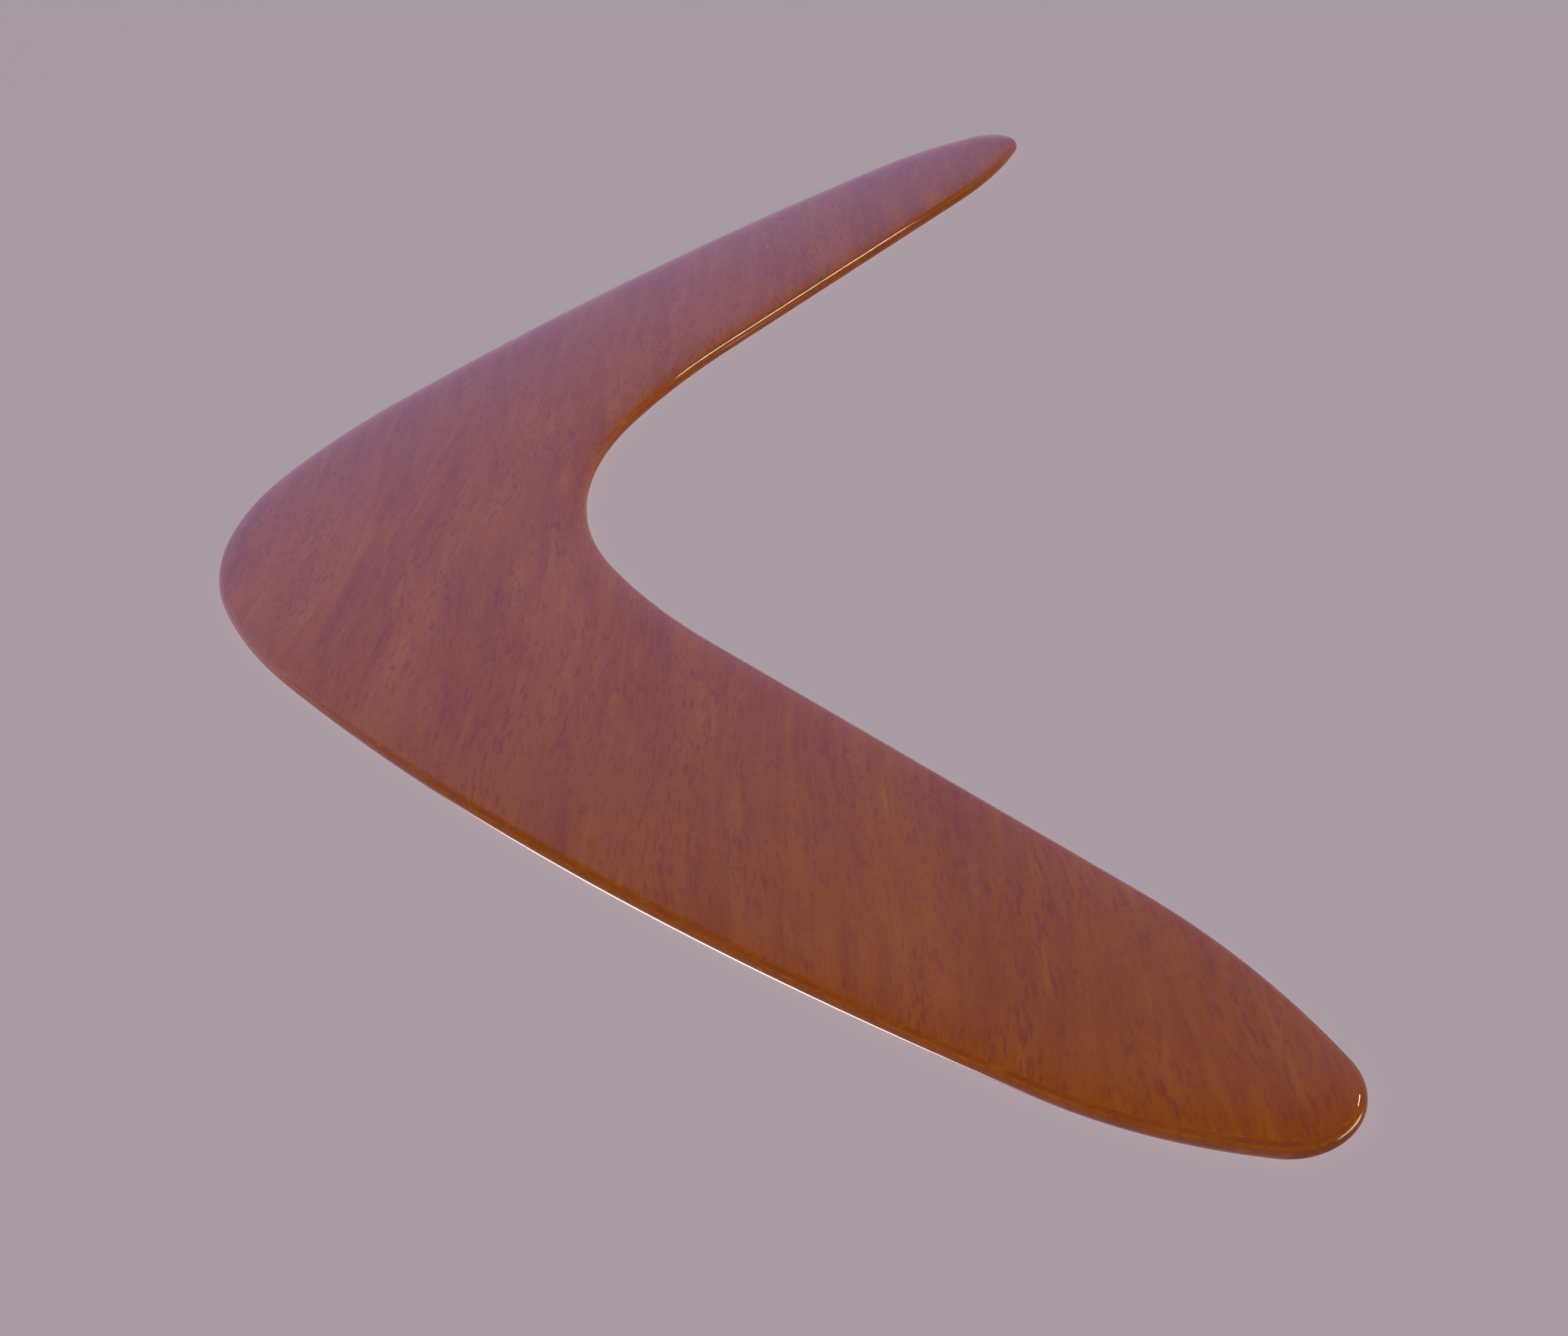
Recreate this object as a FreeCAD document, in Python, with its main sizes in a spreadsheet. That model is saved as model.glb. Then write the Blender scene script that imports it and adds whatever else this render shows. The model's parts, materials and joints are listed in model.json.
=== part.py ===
import FreeCAD, Part
import Sketcher
import math
import os

# A V-shaped returning boomerang cut from thin plywood. The board is one outline, rounded over all
# round its rim on both sides, and is made of veneers (plies) glued face to face.
# Frame: origin under the middle of the bounding box, +X from tip to tip, +Y towards the elbow, +Z up.

doc = FreeCAD.newDocument("Boomerang")

# Driving dimensions, in mm and degrees. The turns say how far round its arc each stretch goes.
SIZES = [
    ("span", 450),
    ("depth", 211),
    ("elbow_width", 87),
    ("ply_thickness", 0.5),
    ("ply_count", 8),
    ("rim_land", 0.1),
    ("elbow_radius", 80),
    ("elbow_turn", 25),
    ("flare_radius", 185),
    ("flare_turn", 13),
    ("outer_edge_radius", 840),
    ("shoulder_radius", 88),
    ("tip_radius", 11),
    ("trailing_radius", 152),
    ("trailing_turn", 17.5),
    ("fillet_radius", 220),
    ("fillet_turn", 11.5),
    ("notch_radius", 93),
]

# The stretches of half the outline, in order. Those with no name are straight.
STRETCHES = ["elbow", "flare", "outer_edge", "shoulder", "tip", "trailing", None, "fillet", "notch"]

# Where the solver starts for the turns and the straight length that no driving size gives
FIRST_OUTER_TURN, FIRST_SHOULDER_TURN, FIRST_TIP_TURN, FIRST_NOTCH_TURN = 13.5, 21.5, 126, 26
FIRST_STRAIGHT = 116

# The slabs that part the veneers are larger than the board by this share
SLAB_SHARE = 1.2
LEVEL_TOLERANCE = 1e-6


def make_sizes():
    """The spreadsheet that every other object takes its sizes from."""
    sheet = doc.addObject("Spreadsheet::Sheet", "Sizes")
    for row, (name, value) in enumerate(SIZES, start=1):
        sheet.set(f"A{row}", name)
        sheet.set(f"B{row}", str(value))
        sheet.setAlias(f"B{row}", name)
    doc.recompute()
    return sheet


def origin_plane(body, role):
    """The plane of the body's own origin that has this role."""
    return next(f for f in body.Origin.OriginFeatures if f.Role == role)


def walk(start, stretches):
    """Joined arcs and lines drawn by walking from start along +X.

    Each stretch is (radius, turn in degrees), a right turn being positive, or (None, length).
    """
    shapes = []
    at = start
    heading = 0.0
    for radius, amount in stretches:
        along = FreeCAD.Vector(math.cos(heading), math.sin(heading), 0)
        if radius is None:
            end = at + along * amount
            shapes.append(Part.LineSegment(at, end))
            at = end
            continue
        side = math.copysign(1, amount)
        to_centre = FreeCAD.Vector(along.y, -along.x, 0) * side
        centre = at + to_centre * radius
        circle = Part.Circle(centre, FreeCAD.Vector(0, 0, 1), radius)
        first = math.atan2(-to_centre.y, -to_centre.x)
        last = first - math.radians(amount)
        shapes.append(Part.ArcOfCircle(circle, min(first, last), max(first, last)))
        heading -= math.radians(amount)
        at = centre + FreeCAD.Vector(math.cos(last), math.sin(last), 0) * radius
    return shapes, at


def draw_half_outline(sheet, sketch):
    """Half the outline, from the elbow's outer middle round one tip to the notch, and closed on Y."""
    turns = [sheet.elbow_turn, sheet.flare_turn, FIRST_OUTER_TURN, FIRST_SHOULDER_TURN,
             FIRST_TIP_TURN, sheet.trailing_turn, FIRST_STRAIGHT, -sheet.fillet_turn,
             -FIRST_NOTCH_TURN]
    radii = [name and sheet.getPropertyByName(name + "_radius") for name in STRETCHES]
    top = FreeCAD.Vector(0, sheet.depth / 2, 0)
    shapes, end = walk(top, list(zip(radii, turns)))
    ids = [sketch.addGeometry(shape, False) for shape in shapes]
    closing = sketch.addGeometry(Part.LineSegment(FreeCAD.Vector(0, end.y, 0), top), False)

    # A right turn's arc runs from its second point to its first, and a left turn's the other way
    starts = [2 if radius and turn > 0 else 1 for radius, turn in zip(radii, turns)]
    ends = [3 - start for start in starts]
    for i in range(len(ids) - 1):
        sketch.addConstraint(
            Sketcher.Constraint("Tangent", ids[i], ends[i], ids[i + 1], starts[i + 1])
        )
    sketch.addConstraint(Sketcher.Constraint("Coincident", ids[-1], ends[-1], closing, 1))
    sketch.addConstraint(Sketcher.Constraint("Coincident", closing, 2, ids[0], starts[0]))
    y_axis = -2
    for geometry, point in ((closing, 1), (closing, 2), (ids[0], 3), (ids[-1], 3)):
        sketch.addConstraint(Sketcher.Constraint("PointOnObject", geometry, point, y_axis))

    def size(constraint, name, expression):
        index = sketch.addConstraint(constraint)
        sketch.renameConstraint(index, name)
        sketch.setExpression("Constraints." + name, expression)

    for geometry, name, radius in zip(ids, STRETCHES, radii):
        if name is not None:
            label = name + "_radius"
            size(Sketcher.Constraint("Radius", geometry, radius), label, f"Sizes.{label} * 1 mm")
    for geometry, name in zip(ids, STRETCHES):
        label = f"{name}_turn"
        if label in dict(SIZES):
            turn = math.radians(sheet.getPropertyByName(label))
            size(Sketcher.Constraint("Angle", geometry, turn), label, f"Sizes.{label} * 1 deg")
    tip = ids[STRETCHES.index("tip")]
    size(Sketcher.Constraint("DistanceY", -1, 1, ids[0], starts[0], sheet.depth / 2),
         "depth_above", "Sizes.depth / 2 * 1 mm")
    size(Sketcher.Constraint("DistanceX", -1, 1, tip, 3, sheet.span / 2 - sheet.tip_radius),
         "tip_out", "(Sizes.span / 2 - Sizes.tip_radius) * 1 mm")
    size(Sketcher.Constraint("DistanceY", tip, 3, -1, 1, sheet.depth / 2 - sheet.tip_radius),
         "tip_down", "(Sizes.depth / 2 - Sizes.tip_radius) * 1 mm")
    size(Sketcher.Constraint("DistanceY", closing, 1, closing, 2, sheet.elbow_width),
         "elbow_width", "Sizes.elbow_width * 1 mm")
    return sketch


def make_board(sheet):
    """The whole glued board, with its rim rounded over on both faces."""
    body = doc.addObject("PartDesign::Body", "Board")
    sketch = body.newObject("Sketcher::SketchObject", "HalfOutline")
    sketch.AttachmentSupport = [(origin_plane(body, "XY_Plane"), "")]
    sketch.MapMode = "FlatFace"
    draw_half_outline(sheet, sketch)
    doc.recompute()
    if sketch.solve() != 0 or sketch.FullyConstrained is False:
        raise RuntimeError("the outline sketch is not solved and fully constrained")

    pad = body.newObject("PartDesign::Pad", "HalfBoard")
    pad.Profile = sketch
    pad.setExpression("Length", "Sizes.ply_count * Sizes.ply_thickness * 1 mm")
    doc.recompute()

    whole = body.newObject("PartDesign::Mirrored", "WholeBoard")
    whole.Originals = [pad]
    whole.MirrorPlane = (origin_plane(body, "YZ_Plane"), [""])
    whole.Refine = True
    body.Tip = whole
    doc.recompute()

    rounded = body.newObject("PartDesign::Fillet", "RoundedBoard")
    rounded.Base = (whole, rim_edges(whole.Shape))
    rounded.setExpression(
        "Radius", "(Sizes.ply_count * Sizes.ply_thickness - Sizes.rim_land) / 2 * 1 mm"
    )
    body.Tip = rounded
    doc.recompute()
    return body


def rim_edges(shape):
    """Names of the edges that lie in the top or the bottom face."""
    return [
        f"Edge{i}"
        for i, edge in enumerate(shape.Edges, start=1)
        if edge.BoundBox.ZLength < LEVEL_TOLERANCE
    ]


def ply_names(count):
    """The plies from the bottom up. Their grain crosses by turns, and the middle two lie alike."""
    names = []
    for number in range(1, count + 1):
        from_face = min(number, count + 1 - number)
        grain = "long" if from_face % 2 else "cross"
        names.append(f"ply_{number}_{grain}_grain")
    names[0] = "back_veneer"
    names[-1] = "face_veneer"
    return names


def make_ply(board, number, name):
    """One veneer: the slice of the board between its two glue lines."""
    slab = doc.addObject("Part::Box", f"Slab{number}")
    slab.setExpression("Length", f"Sizes.span * {SLAB_SHARE} * 1 mm")
    slab.setExpression("Width", f"Sizes.depth * {SLAB_SHARE} * 1 mm")
    slab.setExpression("Height", "Sizes.ply_thickness * 1 mm")
    slab.setExpression("Placement.Base.x", f"-Sizes.span * {SLAB_SHARE} / 2 * 1 mm")
    slab.setExpression("Placement.Base.y", f"-Sizes.depth * {SLAB_SHARE} / 2 * 1 mm")
    slab.setExpression("Placement.Base.z", f"Sizes.ply_thickness * {number - 1} * 1 mm")
    ply = doc.addObject("Part::Common", f"Ply{number}")
    ply.Base = board
    ply.Tool = slab
    ply.Label = name
    return ply


def check(objects):
    """Stops if an object failed to build or a shape isn't sound."""
    for thing in doc.Objects:
        if "Invalid" in thing.State or "Error" in thing.State:
            raise RuntimeError(f"{thing.Label} is {thing.State}")
    for thing in objects:
        if thing.Shape.isNull() or not thing.Shape.isValid() or len(thing.Shape.Solids) != 1:
            raise RuntimeError(f"{thing.Label} isn't one sound solid")


sizes = make_sizes()
board = make_board(sizes)
plies = [
    make_ply(board, number, name)
    for number, name in enumerate(ply_names(int(sizes.ply_count)), start=1)
]
doc.recompute()
check([board] + plies)

os.makedirs("parts", exist_ok=True)
for ply in plies:
    ply.Shape.exportStep(os.path.join("parts", ply.Label + ".step"))
    box = ply.Shape.BoundBox
    print(ply.Label, round(box.XLength, 3), round(box.YLength, 3), round(box.ZMin, 3),
          round(box.ZMax, 3), "volume", round(ply.Shape.Volume, 1))
print("board", board.Shape.BoundBox, "volume", round(board.Shape.Volume, 1))
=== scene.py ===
import json
import math
from collections import namedtuple

import bmesh
import bpy
from mathutils import Matrix, Vector


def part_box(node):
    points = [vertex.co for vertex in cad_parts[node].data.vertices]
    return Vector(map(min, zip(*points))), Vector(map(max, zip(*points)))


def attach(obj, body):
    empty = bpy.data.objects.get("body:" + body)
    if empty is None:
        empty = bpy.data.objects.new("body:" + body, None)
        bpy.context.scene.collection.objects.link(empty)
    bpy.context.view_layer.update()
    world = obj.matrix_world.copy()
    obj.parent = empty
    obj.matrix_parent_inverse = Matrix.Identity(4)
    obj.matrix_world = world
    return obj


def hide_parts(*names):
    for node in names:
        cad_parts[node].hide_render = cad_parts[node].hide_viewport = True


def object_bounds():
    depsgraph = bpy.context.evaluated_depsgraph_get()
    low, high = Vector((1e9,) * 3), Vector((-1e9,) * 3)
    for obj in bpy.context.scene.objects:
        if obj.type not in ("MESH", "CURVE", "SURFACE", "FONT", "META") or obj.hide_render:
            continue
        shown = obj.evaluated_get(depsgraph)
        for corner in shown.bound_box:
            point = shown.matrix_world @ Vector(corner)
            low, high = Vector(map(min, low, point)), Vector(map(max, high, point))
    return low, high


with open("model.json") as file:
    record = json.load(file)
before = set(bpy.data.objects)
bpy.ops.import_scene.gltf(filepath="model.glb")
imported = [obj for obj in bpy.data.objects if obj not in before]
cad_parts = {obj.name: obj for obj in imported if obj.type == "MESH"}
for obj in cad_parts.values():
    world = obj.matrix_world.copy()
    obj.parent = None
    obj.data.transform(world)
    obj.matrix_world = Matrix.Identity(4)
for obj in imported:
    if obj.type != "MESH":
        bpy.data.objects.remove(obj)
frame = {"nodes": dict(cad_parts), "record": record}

CAD_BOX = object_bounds()
LOW, HIGH = CAD_BOX
SPAN = HIGH.x - LOW.x
THICKNESS = HIGH.z - LOW.z
MM = 0.001


# ---------------------------------------------------------------- the board's outline and rim

# The same arcs as the CAD outline, walked from the elbow's outer middle round one tip to the notch.
ELBOW_WIDTH = 87 * MM
ELBOW_RADIUS, ELBOW_TURN = 80 * MM, math.radians(25)
FLARE_RADIUS, FLARE_TURN = 185 * MM, math.radians(13)
OUTER_EDGE_RADIUS = 840 * MM
SHOULDER_RADIUS = 88 * MM
TIP_RADIUS = 11 * MM
TRAILING_RADIUS, TRAILING_TURN = 152 * MM, math.radians(17.5)
FILLET_RADIUS, FILLET_TURN = 220 * MM, math.radians(11.5)
NOTCH_RADIUS = 93 * MM
RIM_LAND = 0.1 * MM
RIM_RADIUS = (THICKNESS - RIM_LAND) / 2

# How many steps each stretch of the outline is drawn in
ELBOW_STEPS, FLARE_STEPS, OUTER_STEPS, SHOULDER_STEPS, HALF_TIP_STEPS = 16, 14, 28, 16, 24
TRAILING_STEPS, STRAIGHT_STEPS, FILLET_STEPS, NOTCH_STEPS = 16, 16, 14, 28

# The top is rubbed down softly next to the rim. It drops by EASE_DROP over EASE_LENGTH, as a cubic.
EASE_DROP = 0.3 * MM
EASE_LENGTH = 6 * MM

# The rows of points of the softened part. They lie closer together next to the rim.
EASE_WIDTH = 8.5 * MM
EASE_STEPS = 12
EASE_CROWDING = 1.4

# The tilt of the shaded surface: it fades inwards from the rim, and rolls a little from edge to edge
EASE_TILT, EASE_FADE = math.radians(14), 3.1 * MM
CROWN_TILT = math.radians(4.2)

# The rim's upper round ends at this slope and has its own radius and the height of its centre
SHOULDER_SLOPE = math.pi / 2 - math.atan(3 * EASE_DROP / EASE_LENGTH)
TOP_RADIUS = (RIM_RADIUS - EASE_DROP) / math.sin(SHOULDER_SLOPE)
TOP_CENTRE = THICKNESS - RIM_RADIUS
RIM_STEP = math.radians(3.5)
HEIGHT_TOLERANCE = 0.01 * MM


def unit(angle):
    """The vector of length one at this angle from +X."""
    return Vector((math.cos(angle), math.sin(angle)))


def solve_outline():
    """The stretches of half the outline, as (kind, a, b, from, to, steps).

    An arc has its centre and its radius for a and b, and a line its two ends. The radius is negative
    where the outline is hollow. The angles are those of the outward normal, which turns clockwise
    round the convex stretches.
    """
    up = math.pi / 2
    elbow_end = up - ELBOW_TURN
    flare_end = elbow_end - FLARE_TURN
    elbow = Vector((0, HIGH.y - ELBOW_RADIUS))
    flare = elbow - unit(elbow_end) * (FLARE_RADIUS - ELBOW_RADIUS)
    outer = flare - unit(flare_end) * (OUTER_EDGE_RADIUS - FLARE_RADIUS)
    tip = Vector((HIGH.x - TIP_RADIUS, LOW.y + TIP_RADIUS))

    # The shoulder touches the outer edge and the tip from inside, so its centre is a fixed distance
    # from both of theirs
    far, near = OUTER_EDGE_RADIUS - SHOULDER_RADIUS, SHOULDER_RADIUS - TIP_RADIUS
    apart = (tip - outer).length
    along = (far**2 - near**2 + apart**2) / (2 * apart)
    aside = math.sqrt(far**2 - along**2)
    direction = (tip - outer).normalized()
    shoulder = outer + direction * along + Vector((-direction.y, direction.x)) * aside
    outer_end = math.atan2(shoulder.y - outer.y, shoulder.x - outer.x)
    shoulder_end = math.atan2(tip.y - shoulder.y, tip.x - shoulder.x)

    # The straight stretch of the inner edge touches one circle about the tip's centre and another
    # about the notch's, on opposite sides
    notch = Vector((0, HIGH.y - ELBOW_WIDTH - NOTCH_RADIUS))
    from_tip = TRAILING_RADIUS - (TRAILING_RADIUS - TIP_RADIUS) * math.cos(TRAILING_TURN)
    from_notch = FILLET_RADIUS - (FILLET_RADIUS - NOTCH_RADIUS) * math.cos(FILLET_TURN)
    between = notch - tip
    slant = math.acos((from_tip + from_notch) / between.length)
    straight = math.atan2(between.y, between.x) + slant

    # By then the normal has turned on clockwise, so its angle is below zero
    if straight > 0:
        straight -= 2 * math.pi
    tip_end = straight + TRAILING_TURN
    fillet_end = straight + FILLET_TURN
    trailing = tip - unit(tip_end) * (TRAILING_RADIUS - TIP_RADIUS)
    fillet = notch + unit(fillet_end) * (FILLET_RADIUS - NOTCH_RADIUS)
    line_start = trailing + unit(straight) * TRAILING_RADIUS
    line_end = fillet - unit(straight) * FILLET_RADIUS
    tip_middle = (shoulder_end + tip_end) / 2
    return [
        ("arc", elbow, ELBOW_RADIUS, up, elbow_end, ELBOW_STEPS),
        ("arc", flare, FLARE_RADIUS, elbow_end, flare_end, FLARE_STEPS),
        ("arc", outer, OUTER_EDGE_RADIUS, flare_end, outer_end, OUTER_STEPS),
        ("arc", shoulder, SHOULDER_RADIUS, outer_end, shoulder_end, SHOULDER_STEPS),
        ("arc", tip, TIP_RADIUS, shoulder_end, tip_middle, HALF_TIP_STEPS),
        ("arc", tip, TIP_RADIUS, tip_middle, tip_end, HALF_TIP_STEPS),
        ("arc", trailing, TRAILING_RADIUS, tip_end, straight, TRAILING_STEPS),
        ("line", line_start, line_end, straight, straight, STRAIGHT_STEPS),
        ("arc", fillet, -FILLET_RADIUS, straight, fillet_end, FILLET_STEPS),
        ("arc", notch, -NOTCH_RADIUS, fillet_end, -up, NOTCH_STEPS),
    ]


def sample_outline():
    """Points and outward normals all round, clockwise from the left tip's end over the elbow.

    Point i and point count - i face each other across the board.
    """
    half = []
    for kind, a, b, start, end, steps in solve_outline():
        for i in range(steps):
            t = i / steps
            normal = unit(start + (end - start) * t)
            point = a.lerp(b, t) if kind == "line" else a + normal * b
            half.append((point, normal))
    half.append((Vector((0, HIGH.y - ELBOW_WIDTH)), unit(-math.pi / 2)))
    mirrored = [(Vector((-p.x, p.y)), Vector((-n.x, n.y))) for p, n in half]
    middle = len(half) // 2
    over = mirrored[middle:0:-1] + half[:middle]
    under = half[middle:] + mirrored[-2:middle:-1]
    return over + under


def reaches_top(z):
    """Whether this height is that of the board's top."""
    return z > THICKNESS - HEIGHT_TOLERANCE


def arc_slope(z):
    """The rim's slope at this height: the angle of its normal above the level."""
    if z >= TOP_CENTRE:
        return math.asin(min(math.sin(SHOULDER_SLOPE), (z - TOP_CENTRE) / TOP_RADIUS))
    if z <= RIM_RADIUS:
        return -math.asin(min(1, (RIM_RADIUS - z) / RIM_RADIUS))
    return 0.0


def rim_profile(z_low, z_high):
    """Points of the rounded rim from z_low to z_high, as (inset, z, slope of the shaded normal).

    The shaded slope is stretched on the upper half so that it meets the tilt of the eased top.
    """
    start, end = arc_slope(z_low), arc_slope(z_high)
    steps = max(2, math.ceil(abs(end - start) / RIM_STEP))
    stretch = (math.pi / 2 - EASE_TILT - CROWN_TILT) / SHOULDER_SLOPE
    rows = []
    for i in range(steps + 1):
        slope = start + (end - start) * i / steps
        radius, centre, shaded = RIM_RADIUS, RIM_RADIUS, slope
        if slope > 0:
            radius, centre, shaded = TOP_RADIUS, TOP_CENTRE, slope * stretch
        rows.append((radius * (1 - math.cos(slope)), centre + radius * math.sin(slope), shaded))

    # The ends lie exactly on the glue lines, so that neighbours meet
    rows[0] = (rows[0][0], z_low, rows[0][2])
    if not reaches_top(z_high):
        rows[-1] = (rows[-1][0], z_high, rows[-1][2])
    return rows


def ease_rows():
    """Points from the shoulder in to where the top is level, as (inset, z, tilt besides the crown's)."""
    shoulder = TOP_RADIUS * (1 - math.cos(SHOULDER_SLOPE))
    rows = []
    for i in range(1, EASE_STEPS + 1):
        inwards = EASE_WIDTH * (i / EASE_STEPS) ** EASE_CROWDING
        left = max(0, 1 - inwards / EASE_LENGTH)
        height = THICKNESS - EASE_DROP * left**3
        rows.append((shoulder + inwards, height, EASE_TILT * math.exp(-inwards / EASE_FADE)))
    return rows


def crown_tilts(outline, inset):
    """The crown's tilt at this inset. It fades from the rim to the middle of the board's width."""
    tilts = []
    for i in range(len(outline)):
        width = (outline[i][0] - outline[-i][0]).length
        tilts.append(CROWN_TILT * (1 - inset / max(TIP_RADIUS, width / 2)))
    return tilts


def ply_rows(z_low, z_high, outline):
    """The rows of one veneer from its lower edge on, as (inset, z, slope at each outline point)."""
    rows = [(inset, z, [slope] * len(outline)) for inset, z, slope in rim_profile(z_low, z_high)]
    if reaches_top(z_high):
        for inset, z, tilt in ease_rows():
            slopes = [math.pi / 2 - tilt - crown for crown in crown_tilts(outline, inset)]
            rows.append((inset, z, slopes))
    return rows


def rim_faces(row_count, count):
    """The quads between each row of count points and the next."""
    faces = []
    for row in range(row_count - 1):
        for i in range(count):
            j = (i + 1) % count
            low, high = row * count, (row + 1) * count
            faces.append((low + i, high + i, high + j, low + j))
    return faces


def level_faces(count):
    """A ladder of quads from the outer edge across to the inner edge, with a triangle at each tip."""
    half = count // 2
    ladder = [(0, 1, count - 1)]
    ladder += [(i, i + 1, count - i - 1, count - i) for i in range(1, half - 1)]
    ladder.append((half - 1, half, half + 1))
    return ladder


def build_ply(node, z_low, z_high, outline):
    """One veneer as a closed mesh: two faces and its slice of the rounded rim."""
    vertices = []
    normals = []
    rows = ply_rows(z_low, z_high, outline)
    for inset, z, slopes in rows:
        for (point, normal), slope in zip(outline, slopes):
            edge = point - normal * inset
            vertices.append((edge.x, edge.y, z))
            out = normal * math.cos(slope)
            normals.append(Vector((out.x, out.y, math.sin(slope))))

    count = len(outline)
    last_row = (len(rows) - 1) * count
    rim = rim_faces(len(rows), count)
    lower = level_faces(count)
    upper = [tuple(last_row + i for i in reversed(face)) for face in lower]
    mesh = bpy.data.meshes.new(node + "_wood")
    mesh.from_pydata(vertices, [], rim + upper + lower)
    mesh.polygons.foreach_set("use_smooth", [True] * len(mesh.polygons))

    # The board's top carries the crown's tilt. Every other level face is flat.
    shaded = [[normals[i] for i in face] for face in rim]
    if reaches_top(z_high):
        shaded += [[normals[i] for i in face] for face in upper]
    else:
        shaded += [[Vector((0, 0, 1))] * len(face) for face in upper]
    shaded += [[Vector((0, 0, -1))] * len(face) for face in lower]
    mesh.normals_split_custom_set([normal for corners in shaded for normal in corners])
    mesh.validate()
    piece = bpy.data.objects.new(node + "_piece", mesh)
    bpy.context.collection.objects.link(piece)
    return piece


# ---------------------------------------------------------------- wood

class Graph:
    """The node tree of a material or world, with short calls to add and join nodes."""

    def __init__(self, owner):
        self.owner = owner
        owner.use_nodes = True
        self.nodes = owner.node_tree.nodes
        self.links = owner.node_tree.links
        self.nodes.clear()

    def add(self, kind, inputs=(), **settings):
        """A node with these settings. An input's value is a number, a colour or another socket."""
        node = self.nodes.new(kind)
        for key, value in settings.items():
            setattr(node, key, value)
        for key, value in dict(inputs).items():
            if isinstance(value, bpy.types.NodeSocket):
                self.links.new(value, node.inputs[key])
            else:
                node.inputs[key].default_value = value
        return node

    def math(self, operation, a, b=0.0):
        return self.add("ShaderNodeMath", {0: a, 1: b}, operation=operation).outputs[0]

    def product(self, first, *others):
        """The first number times all the others."""
        for other in others:
            first = self.math("MULTIPLY", first, other)
        return first

    def mix(self, factor, a, b):
        """Colour a where the factor is 0 and colour b where it is 1."""
        return self.add("ShaderNodeMix", {0: factor, 6: a, 7: b}, data_type="RGBA").outputs[2]

    def ramp(self, value, low, high, to_low=0.0, to_high=1.0):
        """value from low to high becomes to_low to to_high, smoothly and with flat ends."""
        node = self.add("ShaderNodeMapRange", {0: value, 1: low, 2: high, 3: to_low, 4: to_high},
                        interpolation_type="SMOOTHSTEP")
        return node.outputs[0]

    def stretched(self, vector, along, across, shift=(0, 0, 0)):
        """The coordinates as seen by a grain this long and this wide, in metres."""
        scale = (1 / along, 1 / across, 1 / across)
        inputs = {"Vector": vector, "Location": shift, "Scale": scale}
        return self.add("ShaderNodeMapping", inputs).outputs[0]

    def noise(self, vector, detail, distortion=0.0):
        inputs = {"Vector": vector, "Scale": 1.0, "Detail": detail, "Distortion": distortion}
        return self.add("ShaderNodeTexNoise", inputs).outputs[0]

    def output(self, kind, shader):
        self.add(kind, {"Surface": shader.outputs[0]})


# One kind of mark in the wood's figure: its length and width in metres, the detail of its noise, and
# the noise values between which it fades in
Mark = namedtuple("Mark", "length width detail start full")
RIBBONS = Mark(0.075, 0.0075, 2, 0.32, 0.68)
MOTTLE = Mark(0.022, 0.0034, 3, 0.32, 0.68)
FIBRES = Mark(0.014, 0.0006, 2, 0.3, 0.7)
STREAKS = Mark(0.03, 0.0036, 2, 0.54, 0.74)
SPECKS = Mark(0.0017, 0.0005, 1, 0.4, 0.8)
PORES = Mark(0.0036, 0.00072, 1, 0.48, 0.74)
PATCHES = Mark(0.025, 0.008, 1, 0.3, 0.65)
RIBBON_DISTORTION = 0.3

# How much each kind of mark counts: the first three in the light and dark tone, the others as colour
RIBBON_SHARE, MOTTLE_SHARE, FIBRE_SHARE = 0.5, 0.32, 0.18
STREAK_STRENGTH, SPECK_STRENGTH, PORE_STRENGTH = 0.5, 0.35, 0.68

# The share of the pores' strength that is left between the patches
FEWEST_PORES = 0.4

# The grain wanders over this length and width. Its reach is how far apart its two sides lie at most.
DRIFT_LENGTH, DRIFT_WIDTH, DRIFT_REACH = 0.09, 0.05, 0.012

# The wood's own relief under the lacquer, the slight swell of the lacquer, and how rough the wood is
FIBRE_RELIEF, RELIEF_STRENGTH, RELIEF_DEPTH = 0.3, 0.12, 0.1 * MM
SWELL_WIDTH, SWELL_STRENGTH, SWELL_DEPTH = 0.012, 0.02, 1 * MM
SMOOTHEST, ROUGHEST = 0.38, 0.52
WOOD_IOR, LACQUER_IOR, LACQUER_ROUGHNESS = 1.45, 1.5, 0.035

PORE_COLOUR = (0.20, 0.038, 0.024, 1)
GOLD_COLOUR = (0.40, 0.132, 0.012, 1)


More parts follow.
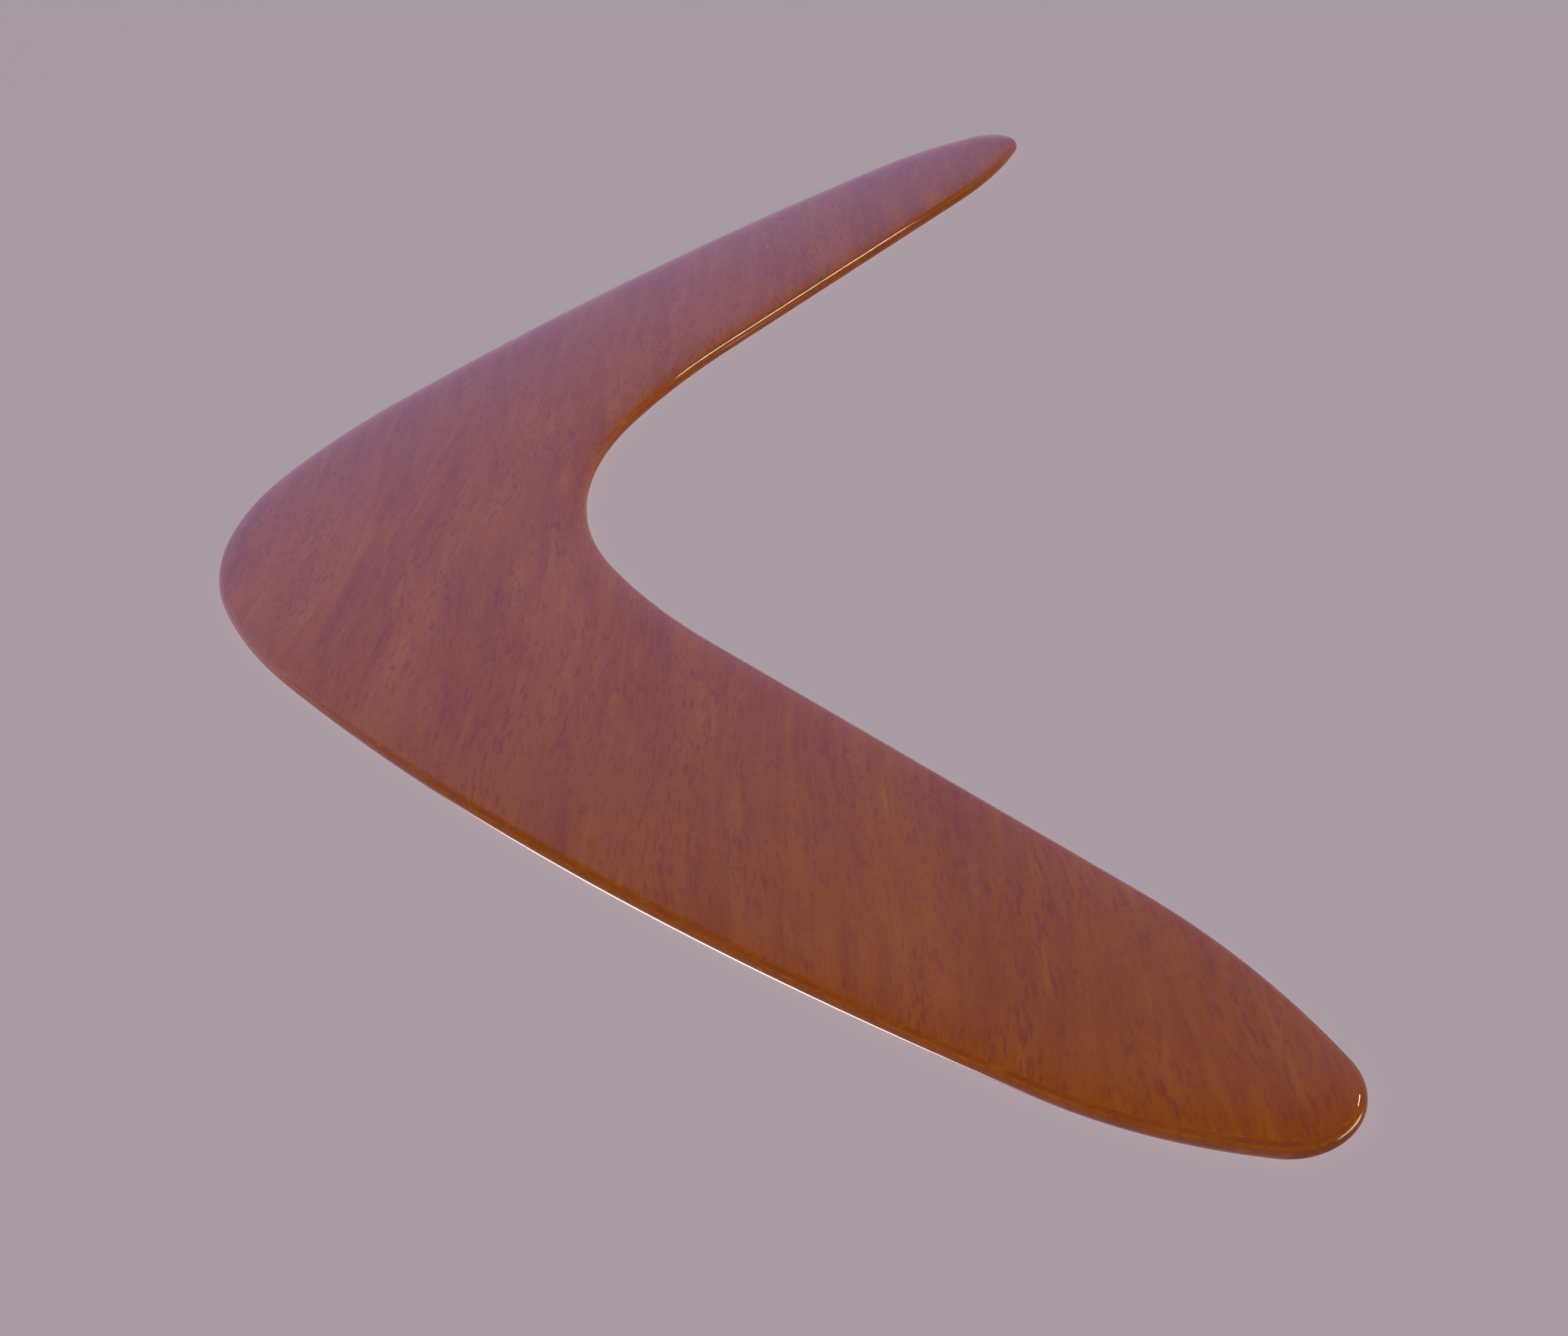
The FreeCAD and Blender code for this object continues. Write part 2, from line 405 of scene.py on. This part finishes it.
def wood(name, grain_turn, light, dark, shift):
    """Lacquered wood with its grain turned this far from +X."""
    g = Graph(bpy.data.materials.new(name))
    place = g.add("ShaderNodeTexCoord").outputs["Object"]
    turned = g.add("ShaderNodeMapping", {"Vector": place, "Rotation": (0, 0, grain_turn)}).outputs[0]

    wander = g.noise(g.stretched(turned, DRIFT_LENGTH, DRIFT_WIDTH, shift), 1)
    drift = g.product(g.math("SUBTRACT", wander, 0.5), DRIFT_REACH)
    aside = g.add("ShaderNodeCombineXYZ", {"Y": drift}).outputs[0]
    grain = g.add("ShaderNodeVectorMath", {0: turned, 1: aside}, operation="ADD").outputs[0]

    def marks(kind, distortion=0.0):
        """The noise that places this kind of mark."""
        return g.noise(g.stretched(grain, kind.length, kind.width, shift), kind.detail, distortion)

    def fade(kind, noise, least, most):
        """From least, where there is none of this kind of mark, to most, where it is full."""
        return g.ramp(noise, kind.start, kind.full, least, most)

    fibres = marks(FIBRES)
    tone = g.math("ADD", fade(RIBBONS, marks(RIBBONS, RIBBON_DISTORTION), 0.0, RIBBON_SHARE),
                  fade(MOTTLE, marks(MOTTLE), 0.0, MOTTLE_SHARE))
    tone = g.math("ADD", tone, fade(FIBRES, fibres, 0.0, FIBRE_SHARE))
    colour = g.mix(tone, dark, light)
    colour = g.mix(fade(STREAKS, marks(STREAKS), 0.0, STREAK_STRENGTH), colour, GOLD_COLOUR)
    colour = g.mix(fade(SPECKS, marks(SPECKS), 0.0, SPECK_STRENGTH), colour, PORE_COLOUR)
    pores = g.product(fade(PORES, marks(PORES), 0.0, 1.0),
                      fade(PATCHES, marks(PATCHES), FEWEST_PORES, 1.0))
    colour = g.mix(g.product(pores, PORE_STRENGTH), colour, PORE_COLOUR)

    height = g.math("SUBTRACT", g.product(fibres, FIBRE_RELIEF), pores)
    relief = g.add("ShaderNodeBump", {
        "Strength": RELIEF_STRENGTH, "Distance": RELIEF_DEPTH, "Height": height,
    })
    swell = g.noise(g.stretched(place, SWELL_WIDTH, SWELL_WIDTH), 1)
    lacquer = g.add("ShaderNodeBump", {
        "Strength": SWELL_STRENGTH, "Distance": SWELL_DEPTH, "Height": swell,
    })

    # Only the lacquer shines. The wood under it has no gloss of its own.
    shader = g.add("ShaderNodeBsdfPrincipled", {
        "Base Color": colour,
        "Roughness": fade(FIBRES, fibres, SMOOTHEST, ROUGHEST),
        "Normal": relief.outputs[0],
        "IOR": WOOD_IOR,
        "Specular IOR Level": 0.0,
        "Coat Weight": 1.0,
        "Coat Roughness": LACQUER_ROUGHNESS,
        "Coat IOR": LACQUER_IOR,
        "Coat Normal": lacquer.outputs[0],
    })
    g.output("ShaderNodeOutputMaterial", shader)
    return g.owner


def face_wood():
    """The outer veneers, mottled red-brown with the grain from tip to tip."""
    return wood("face_wood", ALONG, (0.365, 0.098, 0.006, 1), (0.262, 0.056, 0.008, 1), (0, 0, 0))


def long_grain_wood():
    """The core veneers that lie like the face. Only their edges show, at the rim."""
    light, dark = (0.38, 0.102, 0.005, 1), (0.29, 0.068, 0.005, 1)
    return wood("long_grain_wood", ALONG, light, dark, (3, 5, 7))


def cross_grain_wood():
    """The core veneers that lie across the face. Their edges are a little darker at the rim."""
    light, dark = (0.31, 0.076, 0.004, 1), (0.24, 0.054, 0.004, 1)
    return wood("cross_grain_wood", ACROSS, light, dark, (11, 2, 9))


ALONG, ACROSS = 0.0, math.pi / 2
WOODS = {
    "face_wood": face_wood(),
    "long_grain_wood": long_grain_wood(),
    "cross_grain_wood": cross_grain_wood(),
}


# ---------------------------------------------------------------- the veneers

OUTLINE = sample_outline()
SLOTS = {sub["node"]: sub["material_slot"] for sub in frame["record"]["subparts"]}
for node in sorted(frame["nodes"], key=lambda n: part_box(n)[0].z):
    low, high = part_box(node)
    ply = build_ply(node, low.z, high.z, OUTLINE)
    ply.data.materials.append(WOODS[SLOTS[node]])
    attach(ply, "root")
    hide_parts(node)


# ---------------------------------------------------------------- floor and backdrop

FLOOR_REACH = 30 * SPAN
FLOOR_GAP = 0.02 * MM
FLOOR_PAINT = (0.56, 0.486, 0.558, 1)

FLOOR_ROUGHNESS, FLOOR_GLOSS = 0.9, 0.2
DOME_SEGMENTS, DOME_RINGS = 64, 32

# What the lamps make of the floor's paint
LIT_FLOOR = (0.385, 0.328, 0.372, 1)


def floor_paint():
    """Matt mauve-grey paint."""
    g = Graph(bpy.data.materials.new("floor_paint"))
    g.output("ShaderNodeOutputMaterial", g.add("ShaderNodeBsdfPrincipled", {
        "Base Color": FLOOR_PAINT,
        "Roughness": FLOOR_ROUGHNESS,
        "Specular IOR Level": FLOOR_GLOSS,
    }))
    return g.owner


def backdrop_paint():
    """A surface that shows the lit floor's colour and lights nothing."""
    g = Graph(bpy.data.materials.new("backdrop_paint"))
    g.output("ShaderNodeOutputMaterial", g.add("ShaderNodeEmission", {"Color": LIT_FLOOR}))
    g.owner.cycles.emission_sampling = "NONE"
    return g.owner


def make_floor():
    """A wide plain floor just under the board. Reflections see the studio below the horizon instead."""
    mesh = bpy.data.meshes.new("floor")
    far = FLOOR_REACH
    corners = [(-far, -far, 0), (far, -far, 0), (far, far, 0), (-far, far, 0)]
    mesh.from_pydata(corners, [], [(0, 1, 2, 3)])
    mesh.materials.append(floor_paint())
    floor = bpy.data.objects.new("floor", mesh)
    floor.location.z = LOW.z - FLOOR_GAP
    floor.visible_glossy = False
    bpy.context.collection.objects.link(floor)


def make_backdrop():
    """A wide dome in the lit floor's own colour. Only the camera sees it, above the floor's horizon."""
    mesh = bpy.data.meshes.new("backdrop")
    shell = bmesh.new()
    bmesh.ops.create_uvsphere(
        shell, u_segments=DOME_SEGMENTS, v_segments=DOME_RINGS, radius=FLOOR_REACH
    )
    shell.to_mesh(mesh)
    shell.free()
    mesh.materials.append(backdrop_paint())
    backdrop = bpy.data.objects.new("backdrop", mesh)
    backdrop.visible_diffuse = False
    backdrop.visible_glossy = False
    backdrop.visible_shadow = False
    bpy.context.collection.objects.link(backdrop)


# ---------------------------------------------------------------- lamps and studio

# The soft suns, as (name, compass angle, height, energy). A compass angle is measured from +X.
SUNS = [
    ("key", 135, 84, 1.52),
    ("left", 110, 8, 1.2),
    ("right", -62, 8, 1.6),
    ("front", -130, 8, 0.9),
]
SUN_COLOUR = (1.0, 0.98, 0.96)
SUN_ANGLE = math.radians(50)
STRIP_COLOUR = (1.0, 0.93, 0.85)
STRIP_COMPASS, STRIP_HEIGHT, STRIP_ENERGY = -75, 21, 5
STRIP_LENGTH, STRIP_WIDTH = 0.45, 0.09
LAMP_DISTANCE = 2

# The studio that the lacquer reflects. Each pair of angles, of height or of compass, is in degrees and
# tells where something fades in or out.
HAZE_LOW, HAZE_HIGH = (0.80, 0.57, 0.78, 1), (0.72, 0.61, 1.33, 1)
HAZE_TURNS = (-10, 14)
HAZE_RISES, HAZE_SINKS = (-35, -12), (25, 74)
HAZE_RIGHT_END, HAZE_LEFT_END = (-75, -35), (42, 66)
HAZE_WIDENS, HAZE_WIDENING = (15, 45), 20
HAZE_MIDDLE, HAZE_LEAN = 0.52, 0.0048
DARK = (0.06, 0.05, 0.09, 1)
GROUND = (0.43, 0.34, 0.42, 1)
GROUND_FADES, GROUND_RIGHT_END, GROUND_LEAST = (-35, -12), (-25, 5), 0.25
SPOT = (6.5, 5.4, 4.6, 1)
SPOT_COMPASS, SPOT_HEIGHT, SPOT_EDGE = 52, -52, (14, 8)
BAND = (8, 7.2, 6.0, 1)
BAND_BOTTOM, BAND_TOP, BAND_RIGHT_END, BAND_LEFT_END = (-28, -20), (-18, -10), (-128, -116), (-88, -76)


def toward(azimuth, elevation):
    """The direction at this compass angle from +X and this height, in degrees."""
    a, e = math.radians(azimuth), math.radians(elevation)
    return Vector((math.cos(a) * math.cos(e), math.sin(a) * math.cos(e), math.sin(e)))


def add_lamp(name, kind, azimuth, elevation, colour, energy):
    """A lamp that faces the board from this direction."""
    data = bpy.data.lights.new(name, kind)
    data.energy = energy
    data.color = colour
    lamp = bpy.data.objects.new(name, data)
    out = toward(azimuth, elevation)
    lamp.location = out * LAMP_DISTANCE
    lamp.rotation_mode = "QUATERNION"
    lamp.rotation_quaternion = out.to_track_quat("Z", "Y")
    lamp.visible_camera = False
    bpy.context.collection.objects.link(lamp)
    return lamp


def make_lamps():
    """Soft suns without shadow or reflection, and a strip that only shows as a line along the rim."""
    for name, azimuth, elevation, energy in SUNS:
        sun = add_lamp(name, "SUN", azimuth, elevation, SUN_COLOUR, energy)
        sun.data.angle = SUN_ANGLE
        sun.data.use_shadow = False
        sun.data.cycles.use_multiple_importance_sampling = False
        sun.visible_glossy = False
    strip = add_lamp("strip", "AREA", STRIP_COMPASS, STRIP_HEIGHT, STRIP_COLOUR, STRIP_ENERGY)
    strip.data.shape = "RECTANGLE"
    strip.data.size, strip.data.size_y = STRIP_LENGTH, STRIP_WIDTH
    strip.visible_diffuse = False


def make_world():
    """The studio that the lacquer reflects: haze, the ground, a round bright spot and a bright band."""
    g = Graph(bpy.data.worlds.new("studio"))
    way = g.add("ShaderNodeTexCoord").outputs["Generated"]
    part = g.add("ShaderNodeSeparateXYZ", {0: way}).outputs
    height = g.math("DEGREES", g.math("ARCSINE", part["Z"]))
    compass = g.math("DEGREES", g.math("ARCTAN2", part["Y"], part["X"]))

    def rise(value, span):
        return g.ramp(value, *span)

    def fall(value, span):
        return g.ramp(value, *span, 1.0, 0.0)

    # Haze behind the board, brighter to the left, and reaching further left when it is low
    lean = g.math("ADD", HAZE_MIDDLE, g.product(compass, HAZE_LEAN))
    low_compass = g.math("SUBTRACT", compass, g.ramp(height, *HAZE_WIDENS, HAZE_WIDENING, 0))
    glow = g.product(fall(height, HAZE_SINKS), rise(height, HAZE_RISES),
                     fall(low_compass, HAZE_LEFT_END), rise(compass, HAZE_RIGHT_END), lean)
    colour = g.mix(glow, DARK, g.mix(rise(height, HAZE_TURNS), HAZE_LOW, HAZE_HIGH))

    # The ground, darker to the right
    ground = g.product(fall(height, GROUND_FADES),
                       g.ramp(compass, *GROUND_RIGHT_END, GROUND_LEAST, 1.0))
    colour = g.mix(ground, colour, GROUND)

    # The spot lines the outer edge of the nearer arm, and the band lines its tip
    centre = toward(SPOT_COMPASS, SPOT_HEIGHT)
    nearness = g.add("ShaderNodeVectorMath", {0: way, 1: centre}, operation="DOT_PRODUCT")
    edge = [math.cos(math.radians(angle)) for angle in SPOT_EDGE]
    colour = g.mix(rise(nearness.outputs["Value"], edge), colour, SPOT)
    band = g.product(rise(height, BAND_BOTTOM), fall(height, BAND_TOP),
                     rise(compass, BAND_RIGHT_END), fall(compass, BAND_LEFT_END))
    colour = g.mix(band, colour, BAND)

    g.output("ShaderNodeOutputWorld", g.add("ShaderNodeBackground", {"Color": colour}))
    bpy.context.scene.world = g.owner
    g.owner.cycles_visibility.diffuse = False


# ---------------------------------------------------------------- camera

# The camera and the point that it looks at, in spans of the board
CAMERA_PLACE = (-0.8866, -0.1231, 0.4273)
CAMERA_AIM = (-0.1989, -0.0613, 0.0044)
CAMERA_ROLL = math.radians(-10.24)
CAMERA_ANGLE = math.radians(45)
SENSOR_WIDTH = 36


def make_camera():
    """The camera near the left tip, looking along the board with the elbow on the left."""
    data = bpy.data.cameras.new("camera")
    data.sensor_width = SENSOR_WIDTH
    data.lens = SENSOR_WIDTH / 2 / math.tan(CAMERA_ANGLE / 2)
    data.clip_start = 10 * MM
    camera = bpy.data.objects.new("camera", data)
    place = Vector(CAMERA_PLACE) * SPAN
    aim = Vector(CAMERA_AIM) * SPAN
    look = (aim - place).to_track_quat("-Z", "Y").to_matrix()
    turn = look @ Matrix.Rotation(CAMERA_ROLL, 3, "Z")
    camera.matrix_world = Matrix.Translation(place) @ turn.to_4x4()
    bpy.context.collection.objects.link(camera)
    bpy.context.scene.camera = camera


make_floor()
make_backdrop()
make_world()
make_lamps()
make_camera()
bpy.context.scene.view_settings.view_transform = "Standard"
